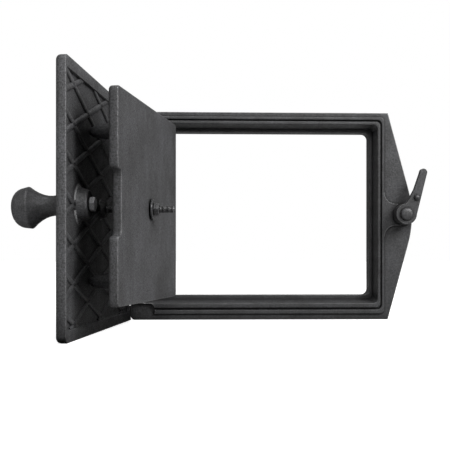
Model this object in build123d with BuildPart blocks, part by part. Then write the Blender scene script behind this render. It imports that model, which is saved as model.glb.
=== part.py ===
from build123d import *
from math import atan, cos, degrees, radians, sin
import os

os.makedirs("parts", exist_ok=True)

# Hinged cast iron flue door. X runs to the right seen from the room, Y runs into the flue and Z runs up.
# The origin is the centre of the opening, in the plane of the flange's back face, which lies on the masonry.

# Frame
frame_width = 260.0
frame_height = 209.0
flange_thickness = 8.0
flange_corner = 4.0
side_share = 0.78  # the ribs and the lip crowd towards the sides and the top, and spread above the sill
top_share = 0.87
sill_share = 1.17
border = 4.8  # flat margin outside the outer rib
rib_width = 3.9
rib_gap = 1.5  # groove between the two ribs
outer_rib_rise = 2.0
inner_rib_rise = 3.0
rib_corner = 4.5
collar_corner = 7.5
rib_edge = 1.1
throat_depth = 17.0  # from the inner rib's crest down to the lip
throat_run = 2.7  # how far the throat narrows on each side on its way down
lip_width = 3.9
lip_depth = 16.0  # length of the straight wall behind the lip
lip_edge = 1.0
opening_corner = 6.0
collar_at = 10.5  # collar's outside, from the flange's edge

# Latch lug at the right
lug_reach = 28.5  # from the flange's right edge to the lug's unrounded point
lug_nose = 105.0  # radius of the rounded point
tongue_width = 22.0
tongue_fillet = 11.5
latch_across = 15.3  # pivot, from the flange's right edge
latch_height = 1.5

# Hinge
swing_open = 96.6  # how far the leaf stands open in the photograph
pin_radius = 2.5
pin_head_radius = 4.2
pin_head_rise = 2.0
pin_tail = 3.0
pin_clearance = 0.06
knuckle_radius = 5.0
hinge_inset = 32.5  # middle of each hinge, from the leaf's top or bottom
eye_length = 12.0
ear_length = 8.0
ear_clearance = 0.4
pin_outboard = 1.0  # pin's axis, left of the flange's edge
pin_forward = 4.5  # pin's axis, in front of the flange's face
notch_clearance = 2.0
pocket_clearance = 0.7
corner_relief = 24.0  # length of the relief in the ribs at each hinge corner
relief_height = 14.0
relief_margin = 2.4
relief_round = 5.5

# Leaf
leaf_free_margin = 6.0  # flange left showing beyond the closed leaf's free edge
leaf_thickness = 8.0
leaf_seat = 0.3  # gap between the closed leaf and the inner rib
leaf_corner = 3.0
leaf_edge = 2.6
panel_recess = 2.0
panel_margin = 9.0
panel_free_margin = 3.5
panel_corner = 2.0
lattice_rise = 1.4
lattice_width = 3.8
lattice_pitch_across = 94.0
lattice_pitch_up = 30.0
lattice_node_across = 30.0  # first crossing, from the free edge
lattice_node_up = -2.5
lattice_overrun = 60.0  # added to each band's length, which is then cut to the panel

# Knob and its bolt
knob_across = 48.0  # knob's axis, from the leaf's free edge
middle_up = -1.3  # height of the knob, the stud, the notch and the spacers' middle
knob_droop = 4.5
knob_length = 46.6
knob_foot_radius = 11.0
knob_neck_radius = 7.8
knob_neck_at = 14.0
knob_ridge_radius = 16.3
knob_ridge_at = 30.8
knob_band_radius = 15.3
knob_band_at = 37.5
knob_crown_radius = 10.2
knob_crown_at = 42.9
knob_neck_ends = ((1, -0.55), (1, 1.25))  # directions of the waist's curve at the leaf and at the ridge
knob_crown_ends = ((1, -0.35), (0, -1))
knob_bore_depth = 22.0
knob_boss_radius = 10.8
knob_boss_foot = 13.2
knob_boss_rise = 8.6
bolt_radius = 3.0
bolt_head_flats = 10.0
bolt_head_height = 4.4
thread_clearance = 0.05

# Baffle and what holds it
baffle_width = 207.0
baffle_clearance = 0.95  # above and below the baffle as it passes the opening
baffle_thickness = 7.8
baffle_corner = 4.0
baffle_edge = 1.2
baffle_setback = 21.0  # baffle's free edge, from the leaf's free edge
baffle_stand = 41.6  # baffle's inner side at the stud, from the leaf's inner face
baffle_tilt = 4.3
baffle_hole_radius = 4.4
baffle_notch_height = 50.0
baffle_notch_depth = 10.0
baffle_notch_round = 4.0
spacer_tip_radius = 2.4
spacer_root_radius = 6.6
spacer_across = 57.0  # spacer's axis, from the baffle's nearer edge
spacer_pitch = 120.8  # between the upper and the lower spacers
spacer_clearance = 0.35
stud_radius = 3.0
stud_boss_radius = 7.5
stud_boss_rise = 5.0
stud_depth = 9.5  # length of stud inside the leaf's boss
stud_past_nut = 12.5
washer_radius = 9.0
washer_hole_radius = 3.2
washer_thickness = 1.6
washer_lift = 0.75
nut_flats = 10.0
nut_height = 5.0
nut_chamfer = 0.6

# Latch lever, seen from the room, measured from its pivot
hub_radius = 10.5
lever_gap = 0.5  # between the lever's back and the closed leaf
lever_thickness = 5.0
lever_right = ((9.7, -3.7), (20.9, 41.3))
lever_tip = ((20.9, 41.3), (17.6, 45.4), (13.4, 41.7))
lever_left = ((13.4, 41.7), (7.9, 25.7))
lever_sweep = ((7.9, 25.7), (4.9, 19.7), (-1.7, 10.4), (-7.7, 7.1))
lever_sweep_ends = ((-0.33, -0.95), (-1, -0.9))
lever_edge = 0.8
hub_clearance = 0.3
nub_radius = 3.0
nub_at = (10.3, 16.4)
rivet_radius = 3.5
rivet_clearance = 0.06
rivet_head_radius = 6.25
rivet_head_rise = 3.2
rivet_tail_radius = 5.5
rivet_tail_depth = 2.5

# Places that follow from the sizes above
face_y = -flange_thickness
outer_rib_y = face_y - outer_rib_rise
crest_y = face_y - inner_rib_rise
lip_y = crest_y + throat_depth
back_y = lip_y + lip_depth
right_x = frame_width / 2
left_x = -right_x
inner_rib_at = border + rib_width + rib_gap
throat_at = inner_rib_at + rib_width
lip_at = throat_at + throat_run
opening_at = lip_at + lip_width
opening_up = opening_at * (sill_share - top_share) / 2
opening_height = frame_height - opening_at * (sill_share + top_share)
pin_x = left_x - pin_outboard
pin_y = face_y - pin_forward
leaf_width = right_x - leaf_free_margin - pin_x
leaf_height = frame_height
knuckle_height = leaf_height / 2 - hinge_inset
leaf_back_y = crest_y - leaf_seat
leaf_back = pin_y - leaf_back_y  # leaf's inner face, outward from the pin's axis
leaf_front = leaf_back + leaf_thickness
panel = leaf_back + panel_recess
latch_x = right_x + latch_across
baffle_height = opening_height - 2 * baffle_clearance
lever_back_y = leaf_back_y - leaf_thickness - lever_gap
lever_front_y = lever_back_y - lever_thickness
swing = radians(swing_open)

# The leaf's own plane: x from the pin's axis to the free edge, y up, z outwards through its front.
leaf_plane = Plane(
    origin=(pin_x, pin_y, 0),
    x_dir=(cos(swing), -sin(swing), 0),
    z_dir=(-sin(swing), -cos(swing), 0),
)
# The wall's plane seen from the room: x to the right, y up, z towards the room.
wall = Plane(origin=(0, 0, 0), x_dir=(1, 0, 0), z_dir=(0, -1, 0))


def room(y):
    """The wall's plane moved to a depth y."""
    return wall.offset(-y)


def ring(inset, corner):
    """One contour of the frame in the open sketch, this far in from the flange's edge."""
    width = frame_width - 2 * inset * side_share
    height = frame_height - inset * (top_share + sill_share)
    with Locations((0, inset * (sill_share - top_share) / 2)):
        return RectangleRounded(width, height, corner)


# Frame: flange with the latch lug, two ribs, throat, lip and collar
with BuildPart() as frame:
    with BuildSketch(room(0)) as flange_sketch:
        ring(0, flange_corner)
        with BuildLine():
            Polyline(
                (right_x - flange_corner, frame_height / 2),
                (right_x, frame_height / 2),
                (right_x + lug_reach, 0),
                (right_x, -frame_height / 2),
                (right_x - flange_corner, -frame_height / 2),
                close=True,
            )
        make_face()
        fillet(flange_sketch.vertices().sort_by(Axis.X)[-1], lug_nose)
    extrude(amount=flange_thickness)
    with BuildSketch(room(0)):
        ring(collar_at, collar_corner)
    extrude(amount=-back_y)
    with BuildSketch(room(face_y)):
        ring(border, rib_corner)
    extrude(amount=outer_rib_rise)
    with BuildSketch(room(face_y)):
        ring(border + rib_width, rib_corner)
    extrude(amount=outer_rib_rise, mode=Mode.SUBTRACT)
    with BuildSketch(room(face_y)):
        ring(inner_rib_at, rib_corner)
    extrude(amount=inner_rib_rise)
    with BuildSketch(room(crest_y)):
        ring(throat_at, rib_corner)
    with BuildSketch(room(lip_y)):
        ring(lip_at, rib_corner)
    loft(mode=Mode.SUBTRACT)
    with BuildSketch(room(lip_y)):
        ring(opening_at, opening_corner)
    extrude(amount=-lip_depth, mode=Mode.SUBTRACT)
    inner_top, outer_top = frame.faces().filter_by(Axis.Y).group_by(Axis.Y)[:2]
    fillet(inner_top.edges() + outer_top.edges(), rib_edge)
    lip = frame.faces().filter_by(Axis.Y).sort_by(lambda face: abs(face.center().Y - lip_y))[0]
    fillet(lip.inner_wires()[0].edges(), lip_edge)

    # Raised tongue from the outer rib out to the latch
    tongue_x = right_x - border * side_share
    tongue_root = tongue_x - rib_width * side_share / 2
    with BuildSketch(room(face_y)):
        with Locations(((tongue_root + latch_x) / 2, latch_height)):
            Rectangle(latch_x - tongue_root, tongue_width)
        with Locations((latch_x, latch_height)):
            Circle(tongue_width / 2)
        for side in (1, -1):
            near = latch_height + side * tongue_width / 2
            far = near + side * tongue_fillet
            with BuildLine():
                start = (tongue_x + tongue_fillet, near)
                Polyline(start, (tongue_root, near), (tongue_root, far), (tongue_x, far))
                RadiusArc((tongue_x, far), start, -side * tongue_fillet)
            make_face()
    extrude(amount=outer_rib_rise)

    # Reliefs in the ribs at the two hinge corners
    for side in (1, -1):
        with BuildSketch(room(face_y)):
            relief_z = side * (frame_height / 2 - relief_margin - relief_height / 2)
            with Locations((left_x + corner_relief / 2, relief_z)):
                relief = Rectangle(corner_relief, relief_height)
            fillet(relief.vertices().group_by(Axis.X)[-1], relief_round)
        extrude(amount=inner_rib_rise, mode=Mode.SUBTRACT)

    # Hinge ears with the pockets for the leaf's eyes
    for side in (1, -1):
        middle = side * knuckle_height
        pocket = eye_length / 2 + ear_clearance
        with BuildSketch(Plane.XY.offset(middle - pocket - ear_length)):
            with Locations((pin_x, pin_y)):
                Circle(knuckle_radius)
            with Locations((pin_x, pin_y / 2)):
                Rectangle(2 * knuckle_radius, -pin_y)
        extrude(amount=2 * (pocket + ear_length))
        with BuildSketch(Plane.XY.offset(middle - pocket)):
            with Locations((pin_x, pin_y)):
                Circle(knuckle_radius + pocket_clearance)
            with Locations((pin_x - knuckle_radius / 2, pin_y / 2)):
                Rectangle(knuckle_radius + 2 * pocket_clearance, -pin_y + pocket_clearance)
        extrude(amount=2 * pocket, mode=Mode.SUBTRACT)
        with BuildSketch(Plane.XY.offset(middle - pocket - ear_length)):
            with Locations((pin_x, pin_y)):
                Circle(pin_radius + pin_clearance)
        extrude(amount=2 * (pocket + ear_length), mode=Mode.SUBTRACT)

    # Hole for the latch's rivet, sunk at the back so that its tail lies flush
    with BuildSketch(room(0)):
        with Locations((latch_x, latch_height)):
            Circle(rivet_radius + rivet_clearance)
    extrude(amount=flange_thickness + outer_rib_rise, mode=Mode.SUBTRACT)
    with BuildSketch(room(0)):
        with Locations((latch_x, latch_height)):
            Circle(rivet_tail_radius + rivet_clearance)
    extrude(amount=rivet_tail_depth, mode=Mode.SUBTRACT)

frame.part.label = "frame"
export_step(frame.part, "parts/frame.step")

# Leaf: plate with a sunk panel, its lattice, bosses and hinge eyes
with BuildPart() as leaf:
    with BuildSketch(leaf_plane.offset(leaf_back)):
        with Locations((leaf_width / 2, 0)):
            RectangleRounded(leaf_width, leaf_height, leaf_corner)
    extrude(amount=leaf_thickness)
    outer_face = leaf.faces().sort_by(Axis(leaf_plane.origin, leaf_plane.z_dir))[-1]
    fillet(outer_face.edges(), leaf_edge)

    panel_width = leaf_width - panel_margin - panel_free_margin
    panel_height = leaf_height - 2 * panel_margin
    panel_centre = (panel_margin + panel_width / 2, 0)
    with BuildSketch(leaf_plane.offset(leaf_back)):
        with Locations(panel_centre):
            RectangleRounded(panel_width, panel_height, panel_corner)
    extrude(amount=panel_recess, mode=Mode.SUBTRACT)

    # Lattice of crossing ribs on the sunk panel
    lean = degrees(atan(lattice_pitch_up / lattice_pitch_across))
    first_node = (leaf_width - lattice_node_across, lattice_node_up)
    lattice_rows = int(panel_height / lattice_pitch_up / 2) + 4
    with BuildSketch(leaf_plane.offset(panel)):
        for row in range(-lattice_rows, lattice_rows + 1):
            for turn in (lean, -lean):
                with Locations((first_node[0], first_node[1] + row * lattice_pitch_up)):
                    Rectangle(2 * leaf_width + lattice_overrun, lattice_width, rotation=turn)
        with Locations(panel_centre):
            RectangleRounded(panel_width, panel_height, panel_corner, mode=Mode.INTERSECT)
    extrude(amount=-lattice_rise)

    # Boss for the knob's bolt, and boss for the baffle's stud
    knob_at = (leaf_width - knob_across, middle_up)
    stud_at = (leaf_width - baffle_setback - baffle_width / 2, middle_up)
    with BuildSketch(leaf_plane.offset(panel)):
        with Locations(knob_at):
            Circle(knob_boss_foot)
    extrude(
        amount=-knob_boss_rise,
        taper=degrees(atan((knob_boss_foot - knob_boss_radius) / knob_boss_rise)),
    )
    with BuildSketch(leaf_plane.offset(panel)):
        with Locations(stud_at):
            Circle(stud_boss_radius)
    extrude(amount=-stud_boss_rise)

    # Hinge eyes on the hinge edge, with notches that clear the frame's ears
    notch_reach = knuckle_radius + notch_clearance
    notch_length = eye_length / 2 + 2 * ear_clearance + ear_length + max(pin_tail, pin_head_rise)
    for side in (1, -1):
        middle = side * knuckle_height
        with BuildSketch(leaf_plane.offset(leaf_front)):
            for end in (1, -1):
                with Locations((0, middle + end * (eye_length / 2 + notch_length) / 2)):
                    Rectangle(2 * notch_reach, notch_length - eye_length / 2)
        extrude(amount=-leaf_thickness, mode=Mode.SUBTRACT)
        with BuildSketch(Plane.XY.offset(middle - eye_length / 2)):
            with Locations((pin_x, pin_y)):
                Circle(knuckle_radius)
        extrude(amount=eye_length)
        with BuildSketch(Plane.XY.offset(middle - eye_length / 2)):
            with Locations((pin_x, pin_y)):
                Circle(pin_radius + pin_clearance)
        extrude(amount=eye_length, mode=Mode.SUBTRACT)

    # Bolt hole through to the knob, and the stud's blind hole
    with BuildSketch(leaf_plane.offset(panel - knob_boss_rise)):
        with Locations(knob_at):
            Circle(bolt_radius + thread_clearance)
    extrude(amount=knob_boss_rise + leaf_thickness, mode=Mode.SUBTRACT)
    with BuildSketch(leaf_plane.offset(panel - stud_boss_rise)):
        with Locations(stud_at):
            Circle(stud_radius + thread_clearance)
    extrude(amount=stud_depth, mode=Mode.SUBTRACT)

leaf.part.label = "leaf"
export_step(leaf.part, "parts/leaf.step")

# Hinge pins, dropped in from above
for name, side in (("upper_hinge_pin", 1), ("lower_hinge_pin", -1)):
    top = side * knuckle_height + eye_length / 2 + ear_clearance + ear_length
    bottom = side * knuckle_height - eye_length / 2 - ear_clearance - ear_length
    with BuildPart() as hinge_pin:
        with BuildSketch(Plane.XY.offset(bottom - pin_tail)):
            with Locations((pin_x, pin_y)):
                Circle(pin_radius)
        extrude(amount=top - bottom + pin_tail)
        chamfer(hinge_pin.edges().group_by(Axis.Z)[0], pin_radius / 4)
        with BuildSketch(Plane.XY.offset(top)):
            with Locations((pin_x, pin_y)):
                Circle(pin_head_radius)
        extrude(amount=pin_head_rise)
        fillet(hinge_pin.edges().group_by(Axis.Z)[-1], pin_head_rise / 2)
    hinge_pin.part.label = name
    export_step(hinge_pin.part, f"parts/{name}.step")

# Knob: turned profile, hanging slightly low as it does in the photograph
knob_foot = leaf_plane.offset(leaf_front).from_local_coords(Vector(*knob_at, 0))
droop = radians(knob_droop)
knob_out = leaf_plane.z_dir * cos(droop) - Vector(0, 0, 1) * sin(droop)
knob_profile = Plane(origin=knob_foot, x_dir=knob_out, z_dir=leaf_plane.x_dir)
knob_sink = knob_foot_radius * sin(droop)
with BuildPart() as knob:
    with BuildSketch(knob_profile):
        with BuildLine():
            Line((-knob_sink, 0), (-knob_sink, knob_foot_radius))
            Spline(
                (-knob_sink, knob_foot_radius),
                (knob_neck_at, knob_neck_radius),
                (knob_ridge_at, knob_ridge_radius),
                tangents=knob_neck_ends,
            )
            Line((knob_ridge_at, knob_ridge_radius), (knob_band_at, knob_band_radius))
            Spline(
                (knob_band_at, knob_band_radius),
                (knob_crown_at, knob_crown_radius),
                (knob_length, 0),
                tangents=knob_crown_ends,
            )
            Line((knob_length, 0), (-knob_sink, 0))
        make_face()
    revolve(axis=Axis(knob_foot, knob_out))
    split(bisect_by=leaf_plane.offset(leaf_front), keep=Keep.TOP)
    with BuildSketch(leaf_plane.offset(leaf_front)):
        with Locations(knob_at):
            Circle(bolt_radius + thread_clearance)
    extrude(amount=knob_bore_depth, mode=Mode.SUBTRACT)
knob.part.label = "knob"
export_step(knob.part, "parts/knob.step")

# Hexagon bolt through the leaf's boss into the knob
bolt_seat = panel - knob_boss_rise
with BuildPart() as knob_bolt:
    with BuildSketch(leaf_plane.offset(bolt_seat)):
        with Locations(knob_at):
            RegularPolygon(bolt_head_flats / 2, 6, major_radius=False, rotation=30)
    extrude(amount=-bolt_head_height)
    chamfer(knob_bolt.faces().sort_by(Axis(leaf_plane.origin, leaf_plane.z_dir))[0].edges(), nut_chamfer)
    with BuildSketch(leaf_plane.offset(bolt_seat)):
        with Locations(knob_at):
            Circle(bolt_radius)
    extrude(amount=leaf_front + knob_bore_depth - bolt_seat - 2 * bolt_radius)
knob_bolt.part.label = "knob_bolt"
export_step(knob_bolt.part, "parts/knob_bolt.step")

# Baffle: flat plate with four conical spacers cast on its back, leaning on the two nearest the free edge
tilt = radians(baffle_tilt)
baffle_out = leaf_plane.z_dir * cos(tilt) - leaf_plane.x_dir * sin(tilt)
baffle_along = leaf_plane.x_dir * cos(tilt) + leaf_plane.z_dir * sin(tilt)
baffle_centre = leaf_plane.offset(leaf_back - baffle_stand).from_local_coords(Vector(*stud_at, 0))
baffle_plane = Plane(origin=baffle_centre, x_dir=baffle_along, z_dir=baffle_out)
spacer_x = baffle_width / 2 - spacer_across
spacer_reach = (baffle_stand + panel_recess - spacer_x * sin(tilt)) / cos(tilt)
spacer_length = spacer_reach - baffle_thickness - spacer_clearance
with BuildPart() as baffle:
    with BuildSketch(baffle_plane) as plate:
        with Locations((0, opening_up - middle_up)):
            RectangleRounded(baffle_width, baffle_height, baffle_corner)
        with Locations((baffle_width / 2, 0)):
            Rectangle(2 * baffle_notch_depth, baffle_notch_height, mode=Mode.SUBTRACT)
        notch_corners = plate.vertices().filter_by(
            lambda v: abs(v.Y) < baffle_notch_height / 2 + 1 and v.X > 0
        )
        fillet(notch_corners, baffle_notch_round)
    extrude(amount=baffle_thickness)
    fillet(baffle.faces().filter_by(Axis(baffle_centre, baffle_out)).edges(), baffle_edge)
    with BuildSketch(baffle_plane.offset(baffle_thickness)):
        for side in (1, -1):
            for end in (1, -1):
                with Locations((side * spacer_x, end * spacer_pitch / 2)):
                    Circle(spacer_root_radius)
    extrude(
        amount=spacer_length,
        taper=degrees(atan((spacer_root_radius - spacer_tip_radius) / spacer_length)),
    )
    with BuildSketch(baffle_plane):
        Circle(baffle_hole_radius)
    extrude(amount=baffle_thickness, mode=Mode.SUBTRACT)
baffle.part.label = "baffle"
export_step(baffle.part, "parts/baffle.step")

# Stud, washer and nut that hold the baffle
washer_seat = leaf_back - baffle_stand - washer_lift
nut_seat = washer_seat - washer_thickness
stud_end = nut_seat - nut_height - stud_past_nut
stud_root = panel - stud_boss_rise + stud_depth
with BuildPart() as stud:
    with BuildSketch(leaf_plane.offset(stud_root)):
        with Locations(stud_at):
            Circle(stud_radius)
    extrude(amount=stud_end - stud_root)
    chamfer(stud.edges().sort_by(Axis(leaf_plane.origin, leaf_plane.z_dir))[0], stud_radius / 5)
stud.part.label = "baffle_stud"
export_step(stud.part, "parts/baffle_stud.step")

with BuildPart() as washer:
    with BuildSketch(leaf_plane.offset(washer_seat)):
        with Locations(stud_at):
            Circle(washer_radius)
            Circle(washer_hole_radius, mode=Mode.SUBTRACT)
    extrude(amount=-washer_thickness)
washer.part.label = "baffle_washer"
export_step(washer.part, "parts/baffle_washer.step")

with BuildPart() as nut:
    with BuildSketch(leaf_plane.offset(nut_seat)):
        with Locations(stud_at):
            RegularPolygon(nut_flats / 2, 6, major_radius=False, rotation=30)
    extrude(amount=-nut_height)
    nut_ends = nut.faces().filter_by(Axis(leaf_plane.origin, leaf_plane.z_dir))
    chamfer(nut_ends.edges(), nut_chamfer)
    with BuildSketch(leaf_plane.offset(nut_seat)):
        with Locations(stud_at):
            Circle(stud_radius + thread_clearance)
    extrude(amount=-nut_height, mode=Mode.SUBTRACT)
nut.part.label = "baffle_nut"
export_step(nut.part, "parts/baffle_nut.step")

# Latch lever: hub, tapering arm and a small finger nub
with BuildPart() as lever:
    lever_front = Plane(origin=(latch_x, lever_front_y, latch_height), x_dir=(1, 0, 0), z_dir=(0, -1, 0))
    with BuildSketch(lever_front):
        with BuildLine():
            Line(*lever_right)
            ThreePointArc(*lever_tip)
            Line(*lever_left)
            Spline(*lever_sweep, tangents=lever_sweep_ends)
            Polyline(lever_sweep[-1], (0, 0), lever_right[0])
        make_face()
        Circle(hub_radius)
    extrude(amount=-lever_thickness)
    fillet(lever.faces().sort_by(Axis.Y)[0].edges(), lever_edge)
    with BuildSketch(lever_front.offset(-lever_thickness)):
        Circle(hub_radius)
    extrude(amount=-(outer_rib_y - hub_clearance - lever_back_y))
    with BuildSketch(lever_front):
        Circle(rivet_radius + rivet_clearance)
    extrude(amount=-(outer_rib_y - hub_clearance - lever_front_y), mode=Mode.SUBTRACT)
    with Locations(lever_front.location * Pos(*nub_at, 0)):
        Sphere(nub_radius)
lever.part.label = "latch_lever"
export_step(lever.part, "parts/latch_lever.step")

# Rivet: domed head in front of the lever, tail flush with the lug's back
with BuildPart() as rivet:
    head_y = lever_front_y - hub_clearance
    head_sphere = (rivet_head_radius**2 + rivet_head_rise**2) / (2 * rivet_head_rise)
    with BuildSketch(Plane(origin=(latch_x, 0, latch_height), x_dir=(1, 0, 0), z_dir=(0, 0, 1))):
        with BuildLine():
            Polyline(
                (0, 0),
                (rivet_tail_radius, 0),
                (rivet_tail_radius, -rivet_tail_depth),
                (rivet_radius, -rivet_tail_depth),
                (rivet_radius, head_y),
                (rivet_head_radius, head_y),
            )
            RadiusArc((rivet_head_radius, head_y), (0, head_y - rivet_head_rise), head_sphere)
            Line((0, head_y - rivet_head_rise), (0, 0))
        make_face()
    revolve(axis=Axis((latch_x, 0, latch_height), (0, 1, 0)))
rivet.part.label = "latch_rivet"
export_step(rivet.part, "parts/latch_rivet.step")
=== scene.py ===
import bpy
import bmesh
from math import cos, pi, radians, sin, tan
from mathutils import Matrix, Vector


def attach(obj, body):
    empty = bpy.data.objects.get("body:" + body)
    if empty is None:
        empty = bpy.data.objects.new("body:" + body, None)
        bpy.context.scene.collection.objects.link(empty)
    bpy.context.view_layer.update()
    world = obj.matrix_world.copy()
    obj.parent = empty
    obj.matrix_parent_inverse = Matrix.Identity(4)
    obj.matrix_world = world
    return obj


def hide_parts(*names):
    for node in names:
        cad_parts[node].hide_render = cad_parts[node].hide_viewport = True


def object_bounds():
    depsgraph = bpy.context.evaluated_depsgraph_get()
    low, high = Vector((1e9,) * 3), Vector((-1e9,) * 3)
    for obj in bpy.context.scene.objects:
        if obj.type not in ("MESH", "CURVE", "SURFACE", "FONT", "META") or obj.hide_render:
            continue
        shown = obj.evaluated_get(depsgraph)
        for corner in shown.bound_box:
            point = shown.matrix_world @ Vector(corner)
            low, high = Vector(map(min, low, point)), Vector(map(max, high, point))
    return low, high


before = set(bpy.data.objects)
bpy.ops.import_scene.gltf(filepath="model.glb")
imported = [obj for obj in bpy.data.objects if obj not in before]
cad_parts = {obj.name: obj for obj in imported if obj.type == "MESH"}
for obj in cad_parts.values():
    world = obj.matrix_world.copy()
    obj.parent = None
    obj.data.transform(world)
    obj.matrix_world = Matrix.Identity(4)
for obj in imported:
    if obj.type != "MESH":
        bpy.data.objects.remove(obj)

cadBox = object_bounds()
scene = bpy.context.scene
print("frame loaded,", len(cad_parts), "castings and fastenings")

# places in mm: the leaf's plane has x from the pin to the free edge, y up and z out through its front
mm = 0.001
weldDistance = 0.0001
swing = radians(96.6)
pinX, pinY = -131.0, -12.5
leafPlane = Matrix.Scale(mm, 4) @ Matrix((
    (cos(swing), 0, -sin(swing), pinX),
    (-sin(swing), 0, -cos(swing), pinY),
    (0, 1, 0, 0),
    (0, 0, 0, 1),
))
leafAt = {
    "inner": -1.2, "front": 6.8, "panel": 0.8, "knob": (207.0, -1.3), "stud": (130.5, -1.3), "eyes": 72.0,
}


# shaping
def roundedPath(corners, steps=5):
    path = []
    count = len(corners)
    for i, (x, y, radius) in enumerate(corners):
        here = Vector((x, y))
        before = (Vector(corners[i - 1][:2]) - here).normalized()
        after = (Vector(corners[(i + 1) % count][:2]) - here).normalized()
        if not radius:
            path.append(here)
            continue
        half = before.angle(after) / 2
        centre = here + (before + after).normalized() * (radius / sin(half))
        start = here + before * (radius / tan(half)) - centre
        turn = start.angle_signed(here + after * (radius / tan(half)) - centre)
        for k in range(steps + 1):
            path.append(centre + Matrix.Rotation(-turn * k / steps, 2) @ start)
    return path


def movedIn(path, distance, hold=None):
    # hold gives the most that a point may move, for places too narrow for the whole rounding
    leastReach = 0.5
    moved = []
    count = len(path)
    for i, here in enumerate(path):
        before = (here - path[i - 1]).normalized()
        after = (path[(i + 1) % count] - here).normalized()
        normal = Vector((-before.y - after.y, before.x + after.x)).normalized()
        reach = max(leastReach, normal.dot(Vector((-before.y, before.x))))
        step = min(distance, hold(here)) if hold else distance
        moved.append(here + normal * (step / reach))
    return moved


def addLoop(bm, path, z):
    return [bm.verts.new((spot.x, spot.y, z)) for spot in path]


def joinLoops(bm, first, second):
    count = len(first)
    for i in range(count):
        j = (i + 1) % count
        bm.faces.new((first[i], first[j], second[j], second[i]))


def loopEdges(bm, loop):
    edges = []
    for i, vert in enumerate(loop):
        other = loop[(i + 1) % len(loop)]
        edges.append(bm.edges.get((vert, other)) or bm.edges.new((vert, other)))
    return edges


def fillBetween(bm, outer, holes, z):
    edges = loopEdges(bm, outer)
    for hole in holes:
        edges += loopEdges(bm, hole)
    bmesh.ops.triangle_fill(bm, use_beauty=True, edges=edges, normal=(0, 0, z))


def plateLoops(bm, path, low, high, lowRound, highRound, steps=4, hold=None):
    loops = []
    for k in range(steps + 1):
        angle = pi / 2 * k / steps
        level = low + lowRound * (1 - cos(angle))
        loops.append(addLoop(bm, movedIn(path, lowRound * (1 - sin(angle)), hold), level))
    for k in range(steps + 1):
        angle = pi / 2 * k / steps
        level = high - highRound * (1 - sin(angle))
        loops.append(addLoop(bm, movedIn(path, highRound * (1 - cos(angle)), hold), level))
    for first, second in zip(loops, loops[1:]):
        joinLoops(bm, first, second)
    return loops


def circlePath(radius, steps):
    angles = [2 * pi * k / steps for k in range(steps)]
    return [Vector((radius * cos(angle), radius * sin(angle))) for angle in angles]


def turned(bm, profile, at, steps=48, ring=False):
    # profile holds (radius, height) pairs; a radius of 0 closes on a pole
    rows = []
    for radius, height in profile:
        if not radius:
            rows.append([bm.verts.new(at @ Vector((0, 0, height)))])
            continue
        spots = circlePath(radius, steps)
        rows.append([bm.verts.new(at @ Vector((spot.x, spot.y, height))) for spot in spots])
    pairs = list(zip(rows, rows[1:]))
    if ring:
        pairs.append((rows[-1], rows[0]))
    for first, second in pairs:
        for k in range(steps):
            j = (k + 1) % steps
            quad = [first[k % len(first)], first[j % len(first)]]
            quad += [second[j % len(second)], second[k % len(second)]]
            bm.faces.new(list(dict.fromkeys(quad)))


def ringProfile(bore, out, low, high, boreEdge, rimEdge, rimRise):
    # a flat ring with both edges broken, at the bore and at the rim
    return (
        (bore, low + boreEdge), (bore + boreEdge, low), (out - rimEdge, low), (out, low + rimRise),
        (out, high - rimRise), (out - rimEdge, high), (bore + boreEdge, high), (bore, high - boreEdge),
    )


def hexNut(bm, at, look):
    # the faces' corners fall away where the turned chamfer crosses the flats
    steps = 72
    countersink = 0.16
    flat, face, height, bore = look["flats"] / 2, look["faceRadius"], look["height"], look["bore"]
    angles = [2 * pi * k / steps for k in range(steps)]

    def row(radii, levels):
        made = []
        for angle, radius, level in zip(angles, radii, levels):
            made.append(bm.verts.new(at @ Vector((radius * cos(angle), radius * sin(angle), level))))
        return made

    outer = [flat / cos(angle % (pi / 3) - pi / 6) for angle in angles]
    fall = [(radius - face) * look["chamferSlope"] for radius in outer]
    rows = [
        row([face] * steps, [0] * steps),
        row(outer, fall),
        row(outer, [height - drop for drop in fall]),
        row([face] * steps, [height] * steps),
    ]
    if bore:
        sink = bore * countersink
        for radius, level in ((bore + sink, height), (bore, height - sink), (bore, sink), (bore + sink, 0)):
            rows.append(row([radius] * steps, [level] * steps))
        rows.append(rows[0])
    else:
        bm.faces.new(rows[-1])
        bm.faces.new(rows[0])
    for first, second in zip(rows, rows[1:]):
        joinLoops(bm, first, second)


def finishPiece(bm, name, place, body, iron, stands=(), sharp=38):
    bmesh.ops.remove_doubles(bm, verts=bm.verts, dist=weldDistance)
    bmesh.ops.transform(bm, matrix=place, verts=bm.verts)
    bmesh.ops.recalc_face_normals(bm, faces=bm.faces)
    for face in bm.faces:
        face.smooth = True
    for edge in bm.edges:
        if len(edge.link_faces) == 2 and edge.calc_face_angle(0) > radians(sharp):
            edge.smooth = False
    mesh = bpy.data.meshes.new(name)
    bm.to_mesh(mesh)
    bm.free()
    mesh.materials.append(iron)
    piece = bpy.data.objects.new(name, mesh)
    scene.collection.objects.link(piece)
    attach(piece, body)
    if stands:
        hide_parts(*stands)


# finishes
def newTree(name):
    mat = bpy.data.materials.new(name)
    mat.use_nodes = True
    mat.node_tree.nodes.clear()
    return mat, mat.node_tree


def addNode(tree, kind, **inputs):
    made = tree.nodes.new(kind)
    for key, value in inputs.items():
        made.inputs[key.replace("_", " ")].default_value = value
    return made


def feed(tree, socket, value):
    if isinstance(value, bpy.types.NodeSocket):
        tree.links.new(value, socket)
    else:
        socket.default_value = value


def maths(tree, operation, first, second=0.0, clamp=False):
    made = tree.nodes.new("ShaderNodeMath")
    made.operation = operation
    made.use_clamp = clamp
    feed(tree, made.inputs[0], first)
    feed(tree, made.inputs[1], second)
    return made.outputs[0]


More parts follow.
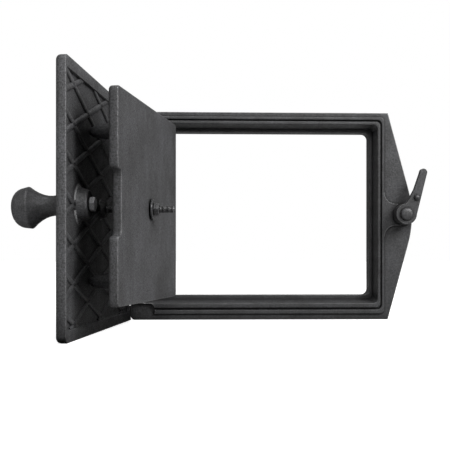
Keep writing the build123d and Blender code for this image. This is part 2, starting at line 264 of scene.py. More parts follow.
def vectorOf(tree, x=0.0, y=0.0, z=0.0):
    made = tree.nodes.new("ShaderNodeCombineXYZ")
    for socket, value in zip(made.inputs, (x, y, z)):
        feed(tree, socket, value)
    return made.outputs[0]


def grey(tone):
    return (tone, tone, tone, 1)


def toneRamp(tree, source, stops):
    made = tree.nodes.new("ShaderNodeValToRGB")
    while len(made.color_ramp.elements) < len(stops):
        made.color_ramp.elements.new(0.5)
    for element, (at, tone) in zip(made.color_ramp.elements, stops):
        element.position = at
        element.color = (*tone, 1)
    tree.links.new(source, made.inputs["Fac"])
    return made.outputs["Color"]


def mixColour(tree, amount, first, second, blend="MIX"):
    made = tree.nodes.new("ShaderNodeMix")
    made.data_type = "RGBA"
    made.blend_type = blend
    # sockets 6 and 7 are the two colours
    for index, value in ((0, amount), (6, first), (7, second)):
        feed(tree, made.inputs[index], value)
    return made.outputs[2]


def spread(tree, source, low, high, outLow, outHigh):
    made = addNode(tree, "ShaderNodeMapRange", From_Min=low, From_Max=high, To_Min=outLow, To_Max=outHigh)
    tree.links.new(source, made.inputs["Value"])
    return made.outputs["Result"]


def noise(tree, scale, detail, roughness):
    return addNode(tree, "ShaderNodeTexNoise", Scale=scale, Detail=detail, Roughness=roughness)


def occlusion(tree, reach, samples):
    made = addNode(tree, "ShaderNodeAmbientOcclusion", Distance=reach)
    made.samples = samples
    return made


# shared by all the irons: tints, and the spans over which a noise or an occlusion acts; the inside occlusion
# sets worn edges that are also painted highlights, the other occlusions set painted shade
blacking = {
    "tints": ((0.3, (0.7, 0.7, 0.71)), (0.5, (1.0, 1.0, 1.03)), (0.72, (1.32, 1.33, 1.4))),
    "streaks": ((0.35, (0.84, 0.84, 0.84)), (0.65, (1.16, 1.16, 1.16))), "streakScale": 4.0,
    "grains": ((0.36, (0.4, 0.4, 0.4)), (0.64, (1.6, 1.6, 1.62))), "fineScale": 3.1,
    "bareAndHighlightTint": (1.0, 1.0, 1.01), "wornAndHighlightSpan": (0.82, 0.45), "brokenSpan": (0.38, 0.6, 0.3, 1.0),
    "softShare": 0.45, "creaseShadeTone": 0.006, "creaseShadeSpan": (0.6, 0.96), "deepShadeTone": 0.004, "deepShadeSpan": (0.3, 0.9),
    "sheen": 0.5, "noiseSpan": (0.3, 0.7), "roughSway": 0.05,
    "fineRise": 0.4, "pitSpan": (0.0, 0.25, -0.5, 0.0), "bumpDepth": 0.0005,
    "softSamples": 6, "rimSamples": 10, "deepSamples": 8,
}


def blackedIron(name, look):
    mat, tree = newTree(name)
    link = tree.links.new
    place = tree.nodes.new("ShaderNodeTexCoord").outputs["Object"]
    shader = addNode(tree, "ShaderNodeBsdfPrincipled", Metallic=look["metallic"])
    link(shader.outputs[0], tree.nodes.new("ShaderNodeOutputMaterial").inputs[0])

    # blotches of the blacking, drawn out along the direction the face was dressed in
    drawn = addNode(tree, "ShaderNodeMapping", Scale=look["drawn"])
    link(place, drawn.inputs["Vector"])
    blotch = noise(tree, look["blotchScale"], detail=5.0, roughness=0.6)
    streak = noise(tree, look["blotchScale"] * blacking["streakScale"], detail=3.0, roughness=0.6)
    sand = noise(tree, look["sandScale"], detail=3.0, roughness=0.7)
    fine = noise(tree, look["sandScale"] * blacking["fineScale"], detail=2.0, roughness=0.5)
    pits = addNode(tree, "ShaderNodeTexVoronoi", Scale=look["pitScale"])
    for texture in (blotch, streak):
        link(drawn.outputs[0], texture.inputs["Vector"])
    for texture in (sand, fine, pits):
        link(place, texture.inputs["Vector"])

    tints = [(at, [look["tone"] * part for part in tint]) for at, tint in blacking["tints"]]
    base = toneRamp(tree, blotch.outputs["Fac"], tints)
    streaks = toneRamp(tree, streak.outputs["Fac"], blacking["streaks"])
    base = mixColour(tree, look["streak"], base, streaks, "MULTIPLY")
    grains = toneRamp(tree, sand.outputs["Fac"], blacking["grains"])
    base = mixColour(tree, look["grain"], base, grains, "MULTIPLY")

    # rubbed edges show bare grey iron in broken lengths; the lighter edges are partly worn iron and partly a
    # painted highlight on crests and arrises
    softened = addNode(tree, "ShaderNodeBevel", Radius=look["edgeRadius"] * blacking["softShare"])
    softened.samples = blacking["softSamples"]
    rim = occlusion(tree, look["edgeRadius"], blacking["rimSamples"])
    rim.inside = True
    rim.only_local = True
    edge = spread(tree, rim.outputs["AO"], *blacking["wornAndHighlightSpan"], 0.0, look["edgeWearAndHighlight"])
    broken = spread(tree, sand.outputs["Fac"], *blacking["brokenSpan"])
    rubAndHighlight = maths(tree, "MULTIPLY", edge, broken, True)
    bareAndHighlight = [look["bareAndHighlight"] * part for part in blacking["bareAndHighlightTint"]]
    base = mixColour(tree, rubAndHighlight, base, (*bareAndHighlight, 1))

    # painted shade: a thin dark line where two faces meet, and darkening in the deep places, both drawn from
    # occlusion
    creaseOcclusion = occlusion(tree, look["creaseShadeReach"], blacking["deepSamples"])
    paintedCreaseShade = spread(tree, creaseOcclusion.outputs["AO"], *blacking["creaseShadeSpan"], look["line"], 0.0)
    base = mixColour(tree, paintedCreaseShade, base, grey(blacking["creaseShadeTone"]))
    deep = occlusion(tree, look["deepShadeReach"], blacking["deepSamples"])
    paintedDeepShade = spread(tree, deep.outputs["AO"], *blacking["deepShadeSpan"], look["paintedDeepShade"], 0.0)
    base = mixColour(tree, paintedDeepShade, base, grey(blacking["deepShadeTone"]))
    link(base, shader.inputs["Base Color"])
    # where the painted shade lies, the specular is turned down too, so no reflection shows in the deep places
    link(spread(tree, paintedDeepShade, 0.0, 1.0, blacking["sheen"], 0.0), shader.inputs["Specular IOR Level"])

    low, high = look["roughness"]
    sway = blacking["roughSway"]
    rough = spread(tree, sand.outputs["Fac"], *blacking["noiseSpan"], high, low)
    patchy = spread(tree, blotch.outputs["Fac"], *blacking["noiseSpan"], sway, -sway)
    link(maths(tree, "ADD", rough, patchy), shader.inputs["Roughness"])

    finer = maths(tree, "MULTIPLY", fine.outputs["Fac"], blacking["fineRise"])
    height = maths(tree, "ADD", sand.outputs["Fac"], finer)
    height = maths(tree, "ADD", height, spread(tree, pits.outputs["Distance"], *blacking["pitSpan"]))
    height = maths(tree, "ADD", height, maths(tree, "MULTIPLY", blotch.outputs["Fac"], look["uneven"]))
    bump = addNode(tree, "ShaderNodeBump", Strength=look["bump"], Distance=blacking["bumpDepth"])
    link(height, bump.inputs["Height"])
    link(softened.outputs[0], bump.inputs["Normal"])
    link(bump.outputs[0], shader.inputs["Normal"])
    return mat


# in each finish, the edge wear amount also sets painted highlights on edges, and the crease-line and deep
# amounts set painted shade
frameIron = blackedIron("frame iron", {
    "tone": 0.036, "bareAndHighlight": 0.3, "drawn": (1, 1, 1), "blotchScale": 60.0, "streak": 0.15, "sandScale": 800.0,
    "pitScale": 420.0, "grain": 0.7, "edgeRadius": 0.0016, "edgeWearAndHighlight": 0.6, "line": 1.0, "creaseShadeReach": 0.0018,
    "paintedDeepShade": 0.7, "deepShadeReach": 0.009, "metallic": 0.3, "roughness": (0.4, 0.56), "bump": 0.45, "uneven": 0.3,
})
leafIron = blackedIron("leaf iron", {
    "tone": 0.066, "bareAndHighlight": 0.5, "drawn": (1, 1, 0.8), "blotchScale": 50.0, "streak": 0.15, "sandScale": 750.0,
    "pitScale": 300.0, "grain": 0.85, "edgeRadius": 0.001, "edgeWearAndHighlight": 0.9, "line": 0.25, "creaseShadeReach": 0.0014,
    "paintedDeepShade": 0.97, "deepShadeReach": 0.052, "metallic": 0.2, "roughness": (0.42, 0.62), "bump": 0.6, "uneven": 0.5,
})
bandIron = blackedIron("band iron", {
    "tone": 0.066, "bareAndHighlight": 0.2, "drawn": (1, 1, 1), "blotchScale": 60.0, "streak": 0.3, "sandScale": 750.0,
    "pitScale": 300.0, "grain": 0.85, "edgeRadius": 0.0008, "edgeWearAndHighlight": 0.0, "line": 0.2, "creaseShadeReach": 0.0012,
    "paintedDeepShade": 0.95, "deepShadeReach": 0.052, "metallic": 0.2, "roughness": (0.4, 0.58), "bump": 0.5, "uneven": 0.5,
})
baffleIron = blackedIron("baffle iron", {
    "tone": 0.057, "bareAndHighlight": 0.65, "drawn": (1, 1, 0.7), "blotchScale": 32.0, "streak": 0.1, "sandScale": 750.0,
    "pitScale": 260.0, "grain": 0.85, "edgeRadius": 0.0014, "edgeWearAndHighlight": 1.0, "line": 0.6, "creaseShadeReach": 0.0014,
    "paintedDeepShade": 0.8, "deepShadeReach": 0.03, "metallic": 0.25, "roughness": (0.42, 0.6), "bump": 0.5, "uneven": 0.3,
})
knobIron = blackedIron("knob iron", {
    "tone": 0.07, "bareAndHighlight": 0.5, "drawn": (1, 1, 1), "blotchScale": 90.0, "streak": 0.4, "sandScale": 1000.0,
    "pitScale": 500.0, "grain": 0.6, "edgeRadius": 0.001, "edgeWearAndHighlight": 0.8, "line": 0.7, "creaseShadeReach": 0.0015,
    "paintedDeepShade": 0.95, "deepShadeReach": 0.03, "metallic": 0.25, "roughness": (0.38, 0.54), "bump": 0.45, "uneven": 0.5,
})
leverIron = blackedIron("lever iron", {
    "tone": 0.044, "bareAndHighlight": 0.3, "drawn": (1, 1, 0.6), "blotchScale": 110.0, "streak": 0.4,
    "sandScale": 1000.0, "pitScale": 450.0, "grain": 0.5, "edgeRadius": 0.0009, "edgeWearAndHighlight": 0.7,
    "line": 1.0, "creaseShadeReach": 0.003, "paintedDeepShade": 0.6, "deepShadeReach": 0.006, "metallic": 0.35,
    "roughness": (0.36, 0.52), "bump": 0.4, "uneven": 0.5,
})
boltSteel = blackedIron("bolt steel", {
    "tone": 0.07, "bareAndHighlight": 0.45, "drawn": (1, 1, 1), "blotchScale": 170.0, "streak": 0.4, "sandScale": 1500.0,
    "pitScale": 900.0, "grain": 0.4, "edgeRadius": 0.0006, "edgeWearAndHighlight": 0.9, "line": 0.95, "creaseShadeReach": 0.001,
    "paintedDeepShade": 0.8, "deepShadeReach": 0.006, "metallic": 0.55, "roughness": (0.3, 0.42), "bump": 0.2, "uneven": 0.4,
})
headSteel = blackedIron("bolt head steel", {
    "tone": 0.14, "bareAndHighlight": 0.6, "drawn": (1, 1, 1), "blotchScale": 170.0, "streak": 0.5, "sandScale": 1400.0,
    "pitScale": 900.0, "grain": 0.5, "edgeRadius": 0.0006, "edgeWearAndHighlight": 0.9, "line": 1.0, "creaseShadeReach": 0.001,
    "paintedDeepShade": 0.5, "deepShadeReach": 0.004, "metallic": 0.4, "roughness": (0.32, 0.46), "bump": 0.3, "uneven": 0.6,
})
studSteel = blackedIron("stud steel", {
    "tone": 0.05, "bareAndHighlight": 0.2, "drawn": (1, 1, 1), "blotchScale": 220.0, "streak": 0.5, "sandScale": 1600.0,
    "pitScale": 900.0, "grain": 0.5, "edgeRadius": 0.0004, "edgeWearAndHighlight": 0.8, "line": 0.6, "creaseShadeReach": 0.0008,
    "paintedDeepShade": 1.0, "deepShadeReach": 0.035, "metallic": 0.5, "roughness": (0.34, 0.48), "bump": 0.2, "uneven": 0.4,
})
for name, iron in {
    "frame": frameIron, "leaf": leafIron, "baffle": baffleIron, "knob": knobIron, "latch_lever": leverIron,
    "knob_bolt": headSteel, "baffle_stud": studSteel, "baffle_washer": boltSteel, "baffle_nut": boltSteel,
    "upper_hinge_pin": boltSteel, "lower_hinge_pin": boltSteel, "latch_rivet": leverIron,
}.items():
    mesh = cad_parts[name].data
    mesh.materials.clear()
    mesh.materials.append(iron)
print("irons and steel made")

# leaf casting: plate with the sunk panel, two bosses and the hinge eyes
leafLook = {
    "width": 255.0, "halfHeight": 104.5, "hingeSide": -1.6, "corner": 5.0, "hingeCorner": 0.6,
    "frontRound": 3.4, "innerRound": 0.4, "hingeRound": 0.45, "hingeStrip": 12, "stripPast": 20,
    "notch": 7.0, "notchFrom": 6.0, "notchTo": 17.8, "notchOuter": 0.8, "notchInner": 0.5,
    "eyeBack": 3.6, "eyeRadius": 5.0, "eyeBore": 2.56, "eyeHalf": 6.0, "eyeEdges": (0.3, 0.5, 0.5),
    "panel": (130.25, 121.25, 95.5), "panelCorner": 2.0,
    "panelSteps": ((-0.3, 0), (0, 0.3), (0.4, 1.5), (0.9, 2.0)),
    "bossHeight": 8.6,
    "boss": (
        (0, 0.6), (16.2, 0.6), (15.6, -0.1), (14.2, -0.5), (13.3, -1.3), (12.7, -2.6), (11.9, -5.4),
        (11.3, -7.4), (11.0, -8.1), (10.5, -8.5), (9.8, -8.6), (9.3, -8.4), (0, -8.4),
    ),
    "studBoss": (
        (0, 0.6), (9.6, 0.6), (9.0, -0.1), (8.0, -0.8), (7.5, -2.0), (7.4, -4.3), (6.9, -5.0), (0, -5.0),
    ),
}


def leafOutline(look):
    width, half, hinge, notch = look["width"], look["halfHeight"], look["hingeSide"], look["notch"]
    eyeBack, near, far, past = look["eyeBack"], look["notchFrom"], look["notchTo"], look["stripPast"]
    outer, inner = look["notchOuter"], look["notchInner"]
    corners = [
        (hinge, -half, look["hingeCorner"]), (past, -half, 0), (width, -half, look["corner"]),
        (width, half, look["corner"]), (past, half, 0), (hinge, half, look["hingeCorner"]),
    ]
    # the edge between the two eyes stands on the pin's axis
    for middle, above, under in ((leafAt["eyes"], hinge, 0), (-leafAt["eyes"], 0, hinge)):
        corners += [
            (above, middle + far, outer), (notch, middle + far, outer), (notch, middle + near, inner),
            (eyeBack, middle + near, 0), (eyeBack, middle - near, 0),
            (notch, middle - near, inner), (notch, middle - far, outer), (under, middle - far, outer),
        ]
    return roundedPath(corners)


def panelPath(centreX, halfX, halfY, radius):
    return roundedPath([
        (centreX - halfX, -halfY, radius), (centreX + halfX, -halfY, radius),
        (centreX + halfX, halfY, radius), (centreX - halfX, halfY, radius),
    ])


def hingeHold(spot):
    return leafLook["hingeRound"] if spot.x < leafLook["hingeStrip"] else leafLook["frontRound"]


bm = bmesh.new()
loops = plateLoops(bm, leafOutline(leafLook), leafAt["inner"], leafAt["front"],
                   leafLook["innerRound"], leafLook["frontRound"], hold=hingeHold)
bm.faces.new(loops[-1])
mouth = panelPath(*leafLook["panel"], leafLook["panelCorner"])
sunk = []
for inset, depth in leafLook["panelSteps"]:
    sunk.append(addLoop(bm, movedIn(mouth, inset), leafAt["inner"] + depth))
for first, second in zip(sunk, sunk[1:]):
    joinLoops(bm, first, second)
bm.faces.new(sunk[-1])
fillBetween(bm, loops[0], [sunk[0]], -1)

turned(bm, leafLook["boss"], Matrix.Translation((*leafAt["knob"], leafAt["panel"])), steps=56)
turned(bm, leafLook["studBoss"], Matrix.Translation((*leafAt["stud"], leafAt["panel"])), steps=40)
eyeHalf = leafLook["eyeHalf"]
eyeProfile = ringProfile(leafLook["eyeBore"], leafLook["eyeRadius"], -eyeHalf, eyeHalf, *leafLook["eyeEdges"])
for middle in (leafAt["eyes"], -leafAt["eyes"]):
    toEye = Matrix.Translation((0, middle, 0)) @ Matrix.Rotation(pi / 2, 4, "X")
    turned(bm, eyeProfile, toEye, steps=40, ring=True)
finishPiece(bm, "leafCasting", leafPlane, "leaf", leafIron, ("leaf",))
print("leaf casting made")

# lattice of crossing bands: each band is cut to the panel by its own line, and drawn with one section
latticeLook = {
    "pitch": 30.0, "slope": 30.0 / 94.0, "firstX": 225.0, "firstY": -2.5, "rows": 19, "leastRun": 3.0,
    "leftX": 8.0, "rightX": 252.5, "halfHeight": 96.5, "rise": 1.2, "topWidth": 4.0, "footWidth": 5.4,
    "topRound": 0.3, "shoulder": (0.2, 0.7),
}


def bandFamily(tree, inlets, sign):
    link = tree.links.new

    def calc(operation, first, second=0.0):
        return maths(tree, operation, first, second)

    line = tree.nodes.new("GeometryNodeMeshLine")
    link(inlets["Rows"], line.inputs["Count"])
    index = tree.nodes.new("GeometryNodeInputIndex").outputs[0]
    middle = calc("DIVIDE", calc("SUBTRACT", inlets["Rows"], 1.0), 2.0)
    up = calc("MULTIPLY", calc("SUBTRACT", index, middle), inlets["Pitch"])
    up = calc("ADD", up, inlets["First Y"])
    slope = calc("MULTIPLY", inlets["Slope"], sign)

    # where the band's line meets the panel's lower, upper, left and right side
    half = inlets["Half Height"]
    below = calc("SUBTRACT", calc("MULTIPLY", half, -1.0), up)
    lowX = calc("ADD", calc("DIVIDE", below, slope), inlets["First X"])
    highX = calc("ADD", calc("DIVIDE", calc("SUBTRACT", half, up), slope), inlets["First X"])
    startX = calc("MAXIMUM", calc("MINIMUM", lowX, highX), inlets["Left X"])
    endX = calc("MINIMUM", calc("MAXIMUM", lowX, highX), inlets["Right X"])
    run = calc("SUBTRACT", endX, startX)
    startY = calc("MULTIPLY", calc("SUBTRACT", startX, inlets["First X"]), slope)
    startY = calc("ADD", startY, up)

    moved = tree.nodes.new("GeometryNodeSetPosition")
    link(line.outputs[0], moved.inputs["Geometry"])
    link(vectorOf(tree, startX, startY), moved.inputs["Position"])
    bar = addNode(tree, "GeometryNodeCurvePrimitiveLine", End=(1, 0, 0))
    lean = calc("ARCTANGENT", slope)
    length = calc("DIVIDE", run, calc("COSINE", lean))
    kept = tree.nodes.new("FunctionNodeCompare")
    kept.operation = "GREATER_THAN"
    link(run, kept.inputs[0])
    kept.inputs[1].default_value = latticeLook["leastRun"]
    laid = tree.nodes.new("GeometryNodeInstanceOnPoints")
    link(moved.outputs[0], laid.inputs["Points"])
    link(kept.outputs[0], laid.inputs["Selection"])
    link(bar.outputs[0], laid.inputs["Instance"])
    link(vectorOf(tree, z=lean), laid.inputs["Rotation"])
    link(vectorOf(tree, length, 1, 1), laid.inputs["Scale"])
    return laid.outputs[0]


def sectionCurve(name, points):
    data = bpy.data.curves.new(name, "CURVE")
    data.dimensions = "2D"
    spline = data.splines.new("POLY")
    spline.points.add(len(points) - 1)
    for point, (x, y) in zip(spline.points, points):
        point.co = (x, y, 0, 1)
    spline.use_cyclic_u = True
    made = bpy.data.objects.new(name, data)
    scene.collection.objects.link(made)
    return made


def growPiece(name, tree, values):
    # a modifier's inputs are set by identifier before it is first worked out, and its mesh is then taken
    host = bpy.data.objects.new(name + "Host", bpy.data.meshes.new(name + "Host"))
    scene.collection.objects.link(host)
    grown = host.modifiers.new("grow", "NODES")
    grown.node_group = tree
    for item in tree.interface.items_tree:
        if item.item_type == "SOCKET" and item.in_out == "INPUT" and item.name in values:
            grown[item.identifier] = values[item.name]
    shown = host.evaluated_get(bpy.context.evaluated_depsgraph_get())
    mesh = bpy.data.meshes.new_from_object(shown)
    host.modifiers.clear()
    bpy.data.objects.remove(host)
    return mesh


def newGrowth(name, sockets):
    tree = bpy.data.node_groups.new(name, "GeometryNodeTree")
    tree.interface.new_socket("Geometry", in_out="OUTPUT", socket_type="NodeSocketGeometry")
    for label, kind in sockets.items():
        tree.interface.new_socket(label, in_out="INPUT", socket_type=kind)
    entry = tree.nodes.new("NodeGroupInput")
    inlets = {label: entry.outputs[label] for label in sockets}
    return tree, inlets


def closeGrowth(tree, geometry):
    whole = tree.nodes.new("GeometryNodeRealizeInstances")
    tree.links.new(geometry, whole.inputs[0])
    finish = tree.nodes.new("GeometryNodeSetMaterial")
    tree.links.new(whole.outputs[0], finish.inputs["Geometry"])
    tree.links.new(tree.nodes["Group Input"].outputs["Material"], finish.inputs["Material"])
    tree.links.new(finish.outputs[0], tree.nodes.new("NodeGroupOutput").inputs[0])


def latticeGrowth():
    tree, inlets = newGrowth("crossing bands", {
        "Rows": "NodeSocketInt", "Pitch": "NodeSocketFloat", "Slope": "NodeSocketFloat",
        "First X": "NodeSocketFloat", "First Y": "NodeSocketFloat", "Left X": "NodeSocketFloat",
        "Right X": "NodeSocketFloat", "Half Height": "NodeSocketFloat", "Section": "NodeSocketObject",
        "Material": "NodeSocketMaterial",
    })
    link = tree.links.new
    crossed = tree.nodes.new("GeometryNodeJoinGeometry")
    for sign in (1.0, -1.0):
        link(bandFamily(tree, inlets, sign), crossed.inputs[0])
    loose = tree.nodes.new("GeometryNodeRealizeInstances")
    link(crossed.outputs[0], loose.inputs[0])
    upright = tree.nodes.new("GeometryNodeSetCurveNormal")
    upright.mode = "Z_UP"
    link(loose.outputs[0], upright.inputs["Curve"])
    section = tree.nodes.new("GeometryNodeObjectInfo")
    link(inlets["Section"], section.inputs["Object"])
    drawnOut = addNode(tree, "GeometryNodeCurveToMesh", Fill_Caps=True)
    link(upright.outputs[0], drawnOut.inputs["Curve"])
    link(section.outputs["Geometry"], drawnOut.inputs["Profile Curve"])
    closeGrowth(tree, drawnOut.outputs[0])
    return tree


def bandOutline(look):
    foot, top, rise = look["footWidth"] / 2, look["topWidth"] / 2, look["rise"]
    out, up = look["shoulder"]
    side, level, flat = top + out, rise * up, top - look["topRound"]
    return (
        (-foot, 0), (-side, -level), (-flat, -rise), (flat, -rise), (side, -level),
        (foot, 0), (side, level), (flat, rise), (-flat, rise), (-side, level),
    )


bandSection = sectionCurve("bandSection", bandOutline(latticeLook))
bands = growPiece("lattice", latticeGrowth(), {
    "Rows": latticeLook["rows"], "Pitch": latticeLook["pitch"], "Slope": latticeLook["slope"],
    "First X": latticeLook["firstX"], "First Y": latticeLook["firstY"], "Left X": latticeLook["leftX"],
    "Right X": latticeLook["rightX"], "Half Height": latticeLook["halfHeight"], "Section": bandSection,
    "Material": bandIron,
})
bpy.data.objects.remove(bandSection)
bm = bmesh.new()
bm.from_mesh(bands)
heights = [v.co.z for v in bm.verts]
print("lattice bands", len(bm.faces), "faces, z", round(min(heights), 2), round(max(heights), 2))
bmesh.ops.translate(bm, vec=(0, 0, leafAt["panel"]), verts=bm.verts)
finishPiece(bm, "leafLattice", leafPlane, "leaf", bandIron, sharp=50)

# knob: waisted cone, sharp ridge, blunt dome
knobLook = {
    "droop": radians(4.5),
    "profile": (
        (0, -0.8), (10.9, -0.8), (10.1, 1.0), (9.2, 3.6), (8.4, 7.0), (7.9, 10.8), (7.8, 14.0), (8.2, 17.2),
        (9.2, 20.6), (10.9, 24.2), (13.2, 27.8), (15.2, 30.2), (15.9, 31.0), (16.25, 31.8), (16.2, 32.6),
        (15.95, 33.6), (15.6, 35.6), (15.25, 37.5), (15.0, 38.3), (14.3, 39.9), (13.1, 41.7), (11.3, 43.4),
        (9.0, 44.8), (6.4, 45.7), (3.4, 46.2), (0, 46.4),
    ),
}
bm = bmesh.new()
toKnob = Matrix.Translation((*leafAt["knob"], leafAt["front"])) @ Matrix.Rotation(knobLook["droop"], 4, "X")
turned(bm, knobLook["profile"], toKnob, steps=72)
finishPiece(bm, "turnedKnob", leafPlane, "leaf", knobIron, ("knob",), sharp=60)

# bolt: hexagon head on the boss, with its shank through leaf and knob
boltLook = {
    "flats": 10.0, "faceRadius": 4.7, "height": 4.4, "bore": 0, "chamferSlope": 0.6, "turn": radians(9),
    "shank": ((0, 1.0), (2.95, 1.0), (2.95, 30.0), (2.4, 31.0), (0, 31.0)),
}
bm = bmesh.new()
headAt = leafAt["panel"] - leafLook["bossHeight"] - boltLook["height"]
toBolt = Matrix.Translation((*leafAt["knob"], headAt))
hexNut(bm, toBolt @ Matrix.Rotation(boltLook["turn"], 4, "Z"), boltLook)
turned(bm, boltLook["shank"], toBolt, steps=32)
finishPiece(bm, "knobBolt", leafPlane, "leaf", headSteel, ("knob_bolt",), sharp=25)
print("knob and bolt made")

# baffle: thick plate with a notch, four cast spacers on its back
baffleLook = {
    "tilt": radians(4.3), "stand": 41.6, "thickness": 7.8, "halfWidth": 103.5, "halfHeight": 82.35,
    "up": 4.42, "corner": 4.0, "notchHalf": 25.0, "notchDepth": 10.0, "notchRound": 4.0, "hole": 4.4,
    "faceRound": 0.9, "backRound": 2.3, "spacers": (46.5, 60.4),
    "spacer": (
        (0, -0.8), (8.4, -0.8), (8.0, 0.1), (7.3, 1.2), (7.0, 3.0), (6.9, 7.0), (6.7, 13.0), (6.2, 19.0),
        (5.4, 24.2), (4.5, 27.8), (3.5, 30.2), (2.2, 31.6), (0, 32.0),
    ),
}
bafflePlane = leafPlane @ Matrix.Translation((*leafAt["stud"], leafAt["inner"] - baffleLook["stand"]))
bafflePlane = bafflePlane @ Matrix.Rotation(-baffleLook["tilt"], 4, "Y")


def baffleOutline(look):
    half, corner, mouthRound = look["halfWidth"], look["corner"], look["notchRound"]
    low, high = look["up"] - look["halfHeight"], look["up"] + look["halfHeight"]
    deep, mouth = half - look["notchDepth"], look["notchHalf"]
    return roundedPath([
        (-half, low, corner), (half, low, corner), (half, -mouth, mouthRound), (deep, -mouth, mouthRound),
        (deep, mouth, mouthRound), (half, mouth, mouthRound), (half, high, corner), (-half, high, corner),
    ], steps=6)


bm = bmesh.new()
loops = plateLoops(bm, baffleOutline(baffleLook), 0, baffleLook["thickness"],
                   baffleLook["faceRound"], baffleLook["backRound"])
holePath = circlePath(baffleLook["hole"], 32)
near = addLoop(bm, holePath, 0)
far = addLoop(bm, holePath, baffleLook["thickness"])
joinLoops(bm, near, far)
fillBetween(bm, loops[0], [near], -1)
fillBetween(bm, loops[-1], [far], 1)
for across in (1, -1):
    for up in (1, -1):
        spot = (across * baffleLook["spacers"][0], up * baffleLook["spacers"][1], baffleLook["thickness"])
        turned(bm, baffleLook["spacer"], Matrix.Translation(spot), steps=32)
finishPiece(bm, "bafflePlate", bafflePlane, "leaf", baffleIron, ("baffle",))
print("baffle made")

# stud: cut thread grown along a spiral round its core, with the washer and the nut
studLook = {
    "from": 1.0, "to": -63.15, "pitch": 1.0, "coreRadius": 2.62, "ridge": 0.42, "end": 0.9, "endShare": 0.72,
    "around": 28, "toothSides": 4, "washerAt": -43.55, "nutAt": -45.15,
}
washerLook = {"radius": 9.0, "hole": 3.2, "thickness": 1.6, "edges": (0.15, 0.35, 0.3)}
nutLook = {
    "flats": 10.0, "faceRadius": 4.75, "height": 5.0, "bore": 3.02, "chamferSlope": 0.6, "turn": radians(3),
}


def threadGrowth(look):
    tree, inlets = newGrowth("cut thread", {
        "Length": "NodeSocketFloat", "Turns": "NodeSocketFloat", "Core": "NodeSocketFloat",
        "Ridge": "NodeSocketFloat", "Tip": "NodeSocketFloat", "Material": "NodeSocketMaterial",
    })
    link = tree.links.new

    def lifted(geometry, height):
        made = tree.nodes.new("GeometryNodeTransform")
        link(geometry, made.inputs["Geometry"])
        link(vectorOf(tree, z=height), made.inputs["Translation"])
        return made.outputs[0]

    spiral = addNode(tree, "GeometryNodeCurveSpiral", Resolution=look["around"])
    link(inlets["Turns"], spiral.inputs["Rotations"])
    link(inlets["Core"], spiral.inputs["Start Radius"])
    link(inlets["Core"], spiral.inputs["End Radius"])
    link(inlets["Length"], spiral.inputs["Height"])
    tooth = addNode(tree, "GeometryNodeCurvePrimitiveCircle", Resolution=look["toothSides"])
    link(inlets["Ridge"], tooth.inputs["Radius"])
    wound = addNode(tree, "GeometryNodeCurveToMesh", Fill_Caps=True)
    link(spiral.outputs[0], wound.inputs["Curve"])
    link(tooth.outputs[0], wound.inputs["Profile Curve"])
    core = addNode(tree, "GeometryNodeMeshCylinder", Vertices=look["around"])
    link(inlets["Core"], core.inputs["Radius"])
    link(inlets["Length"], core.inputs["Depth"])
    coreUp = lifted(core.outputs["Mesh"], maths(tree, "MULTIPLY", inlets["Length"], 0.5))
    point = addNode(tree, "GeometryNodeMeshCone", Vertices=look["around"])
    link(maths(tree, "MULTIPLY", inlets["Core"], look["endShare"]), point.inputs["Radius Top"])
    link(inlets["Core"], point.inputs["Radius Bottom"])
    link(inlets["Tip"], point.inputs["Depth"])
    pointUp = lifted(point.outputs["Mesh"], inlets["Length"])
    whole = tree.nodes.new("GeometryNodeJoinGeometry")
    for part in (pointUp, coreUp, wound.outputs[0]):
        link(part, whole.inputs[0])
    closeGrowth(tree, whole.outputs[0])
    return tree


studLength = studLook["from"] - studLook["to"] - studLook["end"]
thread = growPiece("thread", threadGrowth(studLook), {
    "Length": studLength, "Turns": studLength / studLook["pitch"], "Core": studLook["coreRadius"],
    "Ridge": studLook["ridge"], "Tip": studLook["end"], "Material": studSteel,
})
bm = bmesh.new()
bm.from_mesh(thread)
toStud = Matrix.Translation((*leafAt["stud"], studLook["from"])) @ Matrix.Rotation(pi, 4, "X")
finishPiece(bm, "threadedStud", leafPlane @ toStud, "leaf", studSteel,
            ("baffle_stud",), sharp=30)

bm = bmesh.new()
washerProfile = ringProfile(washerLook["hole"], washerLook["radius"], 0, washerLook["thickness"],
                            *washerLook["edges"])
toWasher = Matrix.Translation((*leafAt["stud"], studLook["washerAt"] - washerLook["thickness"]))
turned(bm, washerProfile, toWasher, steps=56, ring=True)
finishPiece(bm, "wideWasher", leafPlane, "leaf", boltSteel, ("baffle_washer",))

bm = bmesh.new()
toNut = Matrix.Translation((*leafAt["stud"], studLook["nutAt"] - nutLook["height"]))
hexNut(bm, toNut @ Matrix.Rotation(nutLook["turn"], 4, "Z"), nutLook)
finishPiece(bm, "hexagonNut", leafPlane, "leaf", boltSteel, ("baffle_nut",), sharp=25)
print("stud, washer and nut made")

# rivet the latch turns on: a button head drawn in under its rim, so that it stands off the hub
rivetLook = {
    "pivot": (145.3, 0, 1.5),
    "profile": (
        (0, 0), (5.3, 0), (5.5, -0.2), (5.5, -2.5), (3.5, -2.5), (3.5, -25.1), (5.3, -25.1), (5.5, -25.3),
        (6.05, -25.7), (6.2, -26.1), (6.05, -26.7), (5.4, -27.3), (4.4, -27.75), (3.0, -28.1), (1.5, -28.22),
        (0, -28.25),
    ),
}
bm = bmesh.new()
turned(bm, rivetLook["profile"], Matrix.Rotation(-pi / 2, 4, "X"), steps=40)
toPivot = Matrix.Scale(mm, 4) @ Matrix.Translation(rivetLook["pivot"])
finishPiece(bm, "buttonRivet", toPivot, "frame", leverIron, ("latch_rivet",))
print("rivet made")

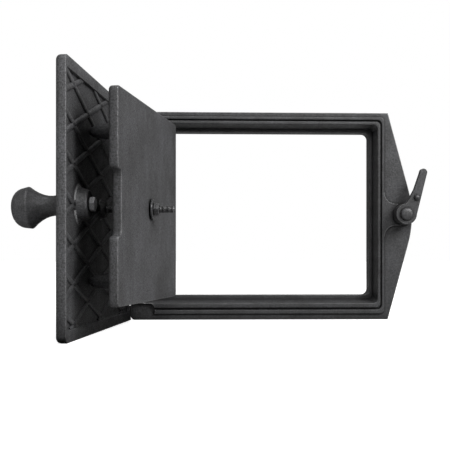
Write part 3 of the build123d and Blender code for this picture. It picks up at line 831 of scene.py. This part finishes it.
# ground, lights and camera are in metres; the ground fades to pure white with distance
groundLook = {
    "size": 40, "drop": 0.0005, "tone": 0.9, "bounceTone": 0.4,
    "fadeFrom": 0.5, "fadeTo": 1.6, "nearGlow": 0.75, "farGlow": 1.05,
}
skyLight = 0.17


def forCamera(tree, seen, felt):
    # the camera sees one shader, and the object is lit by the other
    rays = tree.nodes.new("ShaderNodeLightPath")
    choose = tree.nodes.new("ShaderNodeMixShader")
    tree.links.new(rays.outputs["Is Camera Ray"], choose.inputs[0])
    tree.links.new(felt.outputs[0], choose.inputs[1])
    tree.links.new(seen.outputs[0], choose.inputs[2])
    return choose.outputs[0]


def whiteGround(look):
    mat, tree = newTree("white ground")
    matte = addNode(tree, "ShaderNodeBsdfDiffuse", Color=grey(look["tone"]))
    glow = addNode(tree, "ShaderNodeEmission", Color=grey(1))
    away = tree.nodes.new("ShaderNodeVectorMath")
    away.operation = "LENGTH"
    tree.links.new(tree.nodes.new("ShaderNodeTexCoord").outputs["Object"], away.inputs[0])
    fade = (look["fadeFrom"], look["fadeTo"], look["nearGlow"], look["farGlow"])
    tree.links.new(spread(tree, away.outputs["Value"], *fade), glow.inputs["Strength"])
    lit = tree.nodes.new("ShaderNodeAddShader")
    tree.links.new(matte.outputs[0], lit.inputs[0])
    tree.links.new(glow.outputs[0], lit.inputs[1])
    bounce = addNode(tree, "ShaderNodeBsdfDiffuse", Color=grey(look["bounceTone"]))
    tree.links.new(forCamera(tree, lit, bounce), tree.nodes.new("ShaderNodeOutputMaterial").inputs[0])
    return mat


bpy.ops.mesh.primitive_plane_add(size=groundLook["size"], location=(0, 0, cadBox[0].z - groundLook["drop"]))
floor = bpy.context.object
floor.name = "floor"
floor.data.materials.append(whiteGround(groundLook))

world = bpy.data.worlds.new("studio")
scene.world = world
world.use_nodes = True
sky = world.node_tree
sky.nodes.clear()
white = addNode(sky, "ShaderNodeBackground", Color=grey(1), Strength=1.0)
dim = addNode(sky, "ShaderNodeBackground", Color=grey(1), Strength=skyLight)
sky.links.new(forCamera(sky, white, dim), sky.nodes.new("ShaderNodeOutputWorld").inputs[0])


def softBox(name, at, towards, size, power):
    data = bpy.data.lights.new(name, "AREA")
    data.shape = "RECTANGLE"
    data.size, data.size_y = size
    data.energy = power
    lamp = bpy.data.objects.new(name, data)
    lamp.location = at
    lamp.rotation_euler = (Vector(towards) - Vector(at)).to_track_quat("-Z", "Y").to_euler()
    scene.collection.objects.link(lamp)


softBox("key", (1.1, -0.9, 0.9), (0, -0.1, 0), (0.6, 0.6), 31.0)
softBox("front", (0.15, -1.5, 1.0), (0, -0.1, 0), (0.9, 0.6), 13.0)
softBox("overhead", (-0.1, -0.3, 1.3), (0, -0.05, 0), (0.5, 0.4), 4.0)
softBox("left fill", (-1.4, -0.8, 0.5), (-0.1, -0.1, 0), (0.6, 0.6), 2.5)
softBox("back fill", (0.2, 1.5, 0.8), (0, 0, 0), (0.8, 0.6), 0.8)

# camera at the photograph's angle
cameraLook = {
    "at": (-0.0689, -0.9147, -0.0434), "yaw": radians(2.12), "sensor": 36, "lens": 72.0, "shiftUp": 0.0755,
}
camera = bpy.data.cameras.new("camera")
camera.sensor_width = cameraLook["sensor"]
camera.lens = cameraLook["lens"]
camera.shift_y = cameraLook["shiftUp"]
cameraObject = bpy.data.objects.new("camera", camera)
cameraObject.location = cameraLook["at"]
cameraObject.rotation_euler = (pi / 2, 0, -cameraLook["yaw"])
scene.collection.objects.link(cameraObject)
scene.camera = cameraObject
scene.view_settings.view_transform = "Standard"
print("studio set")
